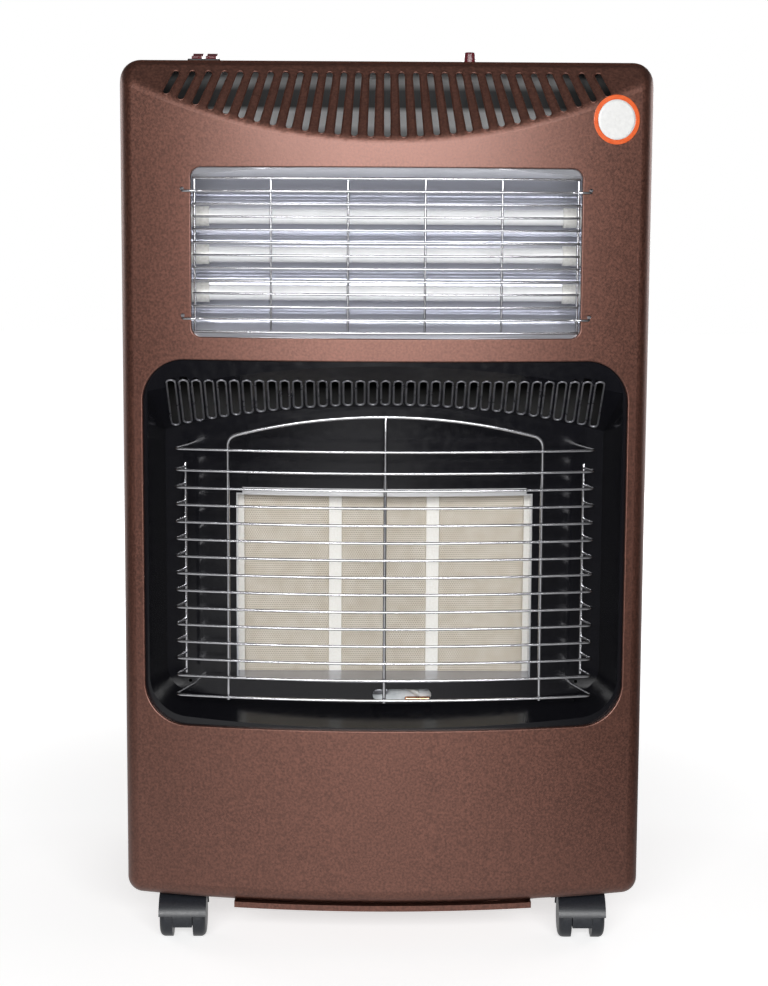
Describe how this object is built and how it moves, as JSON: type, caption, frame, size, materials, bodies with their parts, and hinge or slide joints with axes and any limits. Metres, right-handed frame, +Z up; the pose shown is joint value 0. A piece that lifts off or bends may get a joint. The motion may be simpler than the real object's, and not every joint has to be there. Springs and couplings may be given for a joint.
{
  "type": "cabinet gas heater",
  "caption": "Upright cabinet room heater on castors with a bowed front: louvred cove, guarded quartz-tube window above, guarded gas plaque burner below, and a rear bottle door.",
  "frame": {"origin": "on the floor under the middle of the cabinet's bounding box", "axes": "+X to the right as seen from the front, +Y from the bowed front to the rear door, +Z up"},
  "size_m": [0.42, 0.43, 0.726],
  "materials": {
    "brown_paint": "brown metallic hammered stove paint, semi-gloss",
    "black_enamel": "gloss black stove enamel",
    "polished_sheet": "bright polished reflector sheet",
    "zinc_sheet": "bright zinc-plated steel sheet",
    "chrome_wire": "bright chrome-plated wire",
    "ceramic": null,
    "white_ceramic": null,
    "fibre": "off-white ceramic fibre packing",
    "brass": "machined brass",
    "copper_pipe": null,
    "frosted_quartz": "milky frosted quartz",
    "heating_wire": "oxidised resistance wire",
    "maroon_plastic": "deep maroon gloss moulding",
    "black_plastic": "black moulding",
    "white_plastic": "white moulding",
    "castor_plastic": "dark grey-blue moulding"
  },
  "bodies": {
    "cabinet": {"front_panel": "brown_paint", "top_cover": "brown_paint", "side_panel_left": "brown_paint", "side_panel_right": "brown_paint", "base_tray": "brown_paint", "heat_shield": "zinc_sheet", "hot_air_baffle": "polished_sheet", "burner_surround": "black_enamel", "plaque_left": "ceramic", "plaque_middle": "ceramic", "plaque_right": "ceramic", "plaque_gasket": "fibre", "burner_housing": "zinc_sheet", "burner_frame": "polished_sheet", "gas_manifold": "zinc_sheet", "injectors": "brass", "gas_valve": "brass", "gas_pipe": "copper_pipe", "hose_nozzle": "brass", "pilot_bracket": "zinc_sheet", "pilot_burner": "polished_sheet", "thermocouple": "copper_pipe", "spark_electrode": "white_ceramic", "lower_guard": "chrome_wire", "upper_reflector": "polished_sheet", "quartz_tube_top": "frosted_quartz", "quartz_tube_middle": "frosted_quartz", "quartz_tube_bottom": "frosted_quartz", "heating_coils": "heating_wire", "tube_end_caps": "white_ceramic", "tube_brackets": "zinc_sheet", "upper_guard": "chrome_wire", "switch_bezel": "black_plastic", "hinge_leaves_cabinet": "zinc_sheet", "hinge_pins": "zinc_sheet", "door_catch": "black_plastic", "mains_gland": "black_plastic", "terminal_block": "white_plastic", "tilt_switch": "white_plastic", "panel_screws": "zinc_sheet"},
    "rocker_left": {"rocker_left": "maroon_plastic"},
    "rocker_right": {"rocker_right": "maroon_plastic"},
    "valve_spindle": {"valve_spindle": "brass"},
    "control_knob": {"control_knob": "maroon_plastic"},
    "rear_door": {"rear_door": "brown_paint", "hinge_leaves_door": "zinc_sheet"},
    "castor_fork_front_left": {"castor_fork_front_left": "castor_plastic"},
    "castor_wheel_front_left_left": {"castor_wheel_front_left_left": "castor_plastic"},
    "castor_wheel_front_left_right": {"castor_wheel_front_left_right": "castor_plastic"},
    "castor_fork_front_right": {"castor_fork_front_right": "castor_plastic"},
    "castor_wheel_front_right_left": {"castor_wheel_front_right_left": "castor_plastic"},
    "castor_wheel_front_right_right": {"castor_wheel_front_right_right": "castor_plastic"},
    "castor_fork_rear_left": {"castor_fork_rear_left": "castor_plastic"},
    "castor_wheel_rear_left_left": {"castor_wheel_rear_left_left": "castor_plastic"},
    "castor_wheel_rear_left_right": {"castor_wheel_rear_left_right": "castor_plastic"},
    "castor_fork_rear_right": {"castor_fork_rear_right": "castor_plastic"},
    "castor_wheel_rear_right_left": {"castor_wheel_rear_right_left": "castor_plastic"},
    "castor_wheel_rear_right_right": {"castor_wheel_rear_right_right": "castor_plastic"}
  },
  "joints": [
    {"name": "rocker_left_pivot", "type": "hinge", "parent": "cabinet", "child": "rocker_left", "pos_m": [-0.1522, -0.125, 0.7165], "axis": [1, 0, 0], "range_deg": [-18, 0]},
    {"name": "rocker_right_pivot", "type": "hinge", "parent": "cabinet", "child": "rocker_right", "pos_m": [-0.1408, -0.125, 0.7165], "axis": [1, 0, 0], "range_deg": [-18, 0]},
    {"name": "knob_push", "type": "slide", "parent": "cabinet", "child": "valve_spindle", "axis": [0, 0, -1], "range_m": [0, 0.004], "stiffness_N_per_m": 1500, "springref_m": -0.001},
    {"name": "knob_turn", "type": "hinge", "parent": "valve_spindle", "child": "control_knob", "pos_m": [0.067, -0.113, 0.709], "axis": [0, 0, 1], "range_deg": [0, 210]},
    {"name": "rear_door_hinge", "type": "hinge", "parent": "cabinet", "child": "rear_door", "pos_m": [-0.1926, 0.212, 0.37], "axis": [0, 0, 1], "range_deg": [0, 105]},
    {"name": "castor_swivel_front_left", "type": "hinge", "parent": "cabinet", "child": "castor_fork_front_left", "pos_m": [-0.165, -0.15, 0.05], "axis": [0, 0, 1], "continuous": true},
    {"name": "castor_wheel_front_left_left_spin", "type": "hinge", "parent": "castor_fork_front_left", "child": "castor_wheel_front_left_left", "pos_m": [-0.165, -0.165, 0.018], "axis": [1, 0, 0], "continuous": true},
    {"name": "castor_wheel_front_left_right_spin", "type": "hinge", "parent": "castor_fork_front_left", "child": "castor_wheel_front_left_right", "pos_m": [-0.165, -0.165, 0.018], "axis": [1, 0, 0], "continuous": true},
    {"name": "castor_swivel_front_right", "type": "hinge", "parent": "cabinet", "child": "castor_fork_front_right", "pos_m": [0.165, -0.15, 0.05], "axis": [0, 0, 1], "continuous": true},
    {"name": "castor_wheel_front_right_left_spin", "type": "hinge", "parent": "castor_fork_front_right", "child": "castor_wheel_front_right_left", "pos_m": [0.165, -0.165, 0.018], "axis": [1, 0, 0], "continuous": true},
    {"name": "castor_wheel_front_right_right_spin", "type": "hinge", "parent": "castor_fork_front_right", "child": "castor_wheel_front_right_right", "pos_m": [0.165, -0.165, 0.018], "axis": [1, 0, 0], "continuous": true},
    {"name": "castor_swivel_rear_left", "type": "hinge", "parent": "cabinet", "child": "castor_fork_rear_left", "pos_m": [-0.168, 0.15, 0.05], "axis": [0, 0, 1], "continuous": true},
    {"name": "castor_wheel_rear_left_left_spin", "type": "hinge", "parent": "castor_fork_rear_left", "child": "castor_wheel_rear_left_left", "pos_m": [-0.168, 0.135, 0.018], "axis": [1, 0, 0], "continuous": true},
    {"name": "castor_wheel_rear_left_right_spin", "type": "hinge", "parent": "castor_fork_rear_left", "child": "castor_wheel_rear_left_right", "pos_m": [-0.168, 0.135, 0.018], "axis": [1, 0, 0], "continuous": true},
    {"name": "castor_swivel_rear_right", "type": "hinge", "parent": "cabinet", "child": "castor_fork_rear_right", "pos_m": [0.168, 0.15, 0.05], "axis": [0, 0, 1], "continuous": true},
    {"name": "castor_wheel_rear_right_left_spin", "type": "hinge", "parent": "castor_fork_rear_right", "child": "castor_wheel_rear_right_left", "pos_m": [0.168, 0.135, 0.018], "axis": [1, 0, 0], "continuous": true},
    {"name": "castor_wheel_rear_right_right_spin", "type": "hinge", "parent": "castor_fork_rear_right", "child": "castor_wheel_rear_right_right", "pos_m": [0.168, 0.135, 0.018], "axis": [1, 0, 0], "continuous": true}
  ]
}
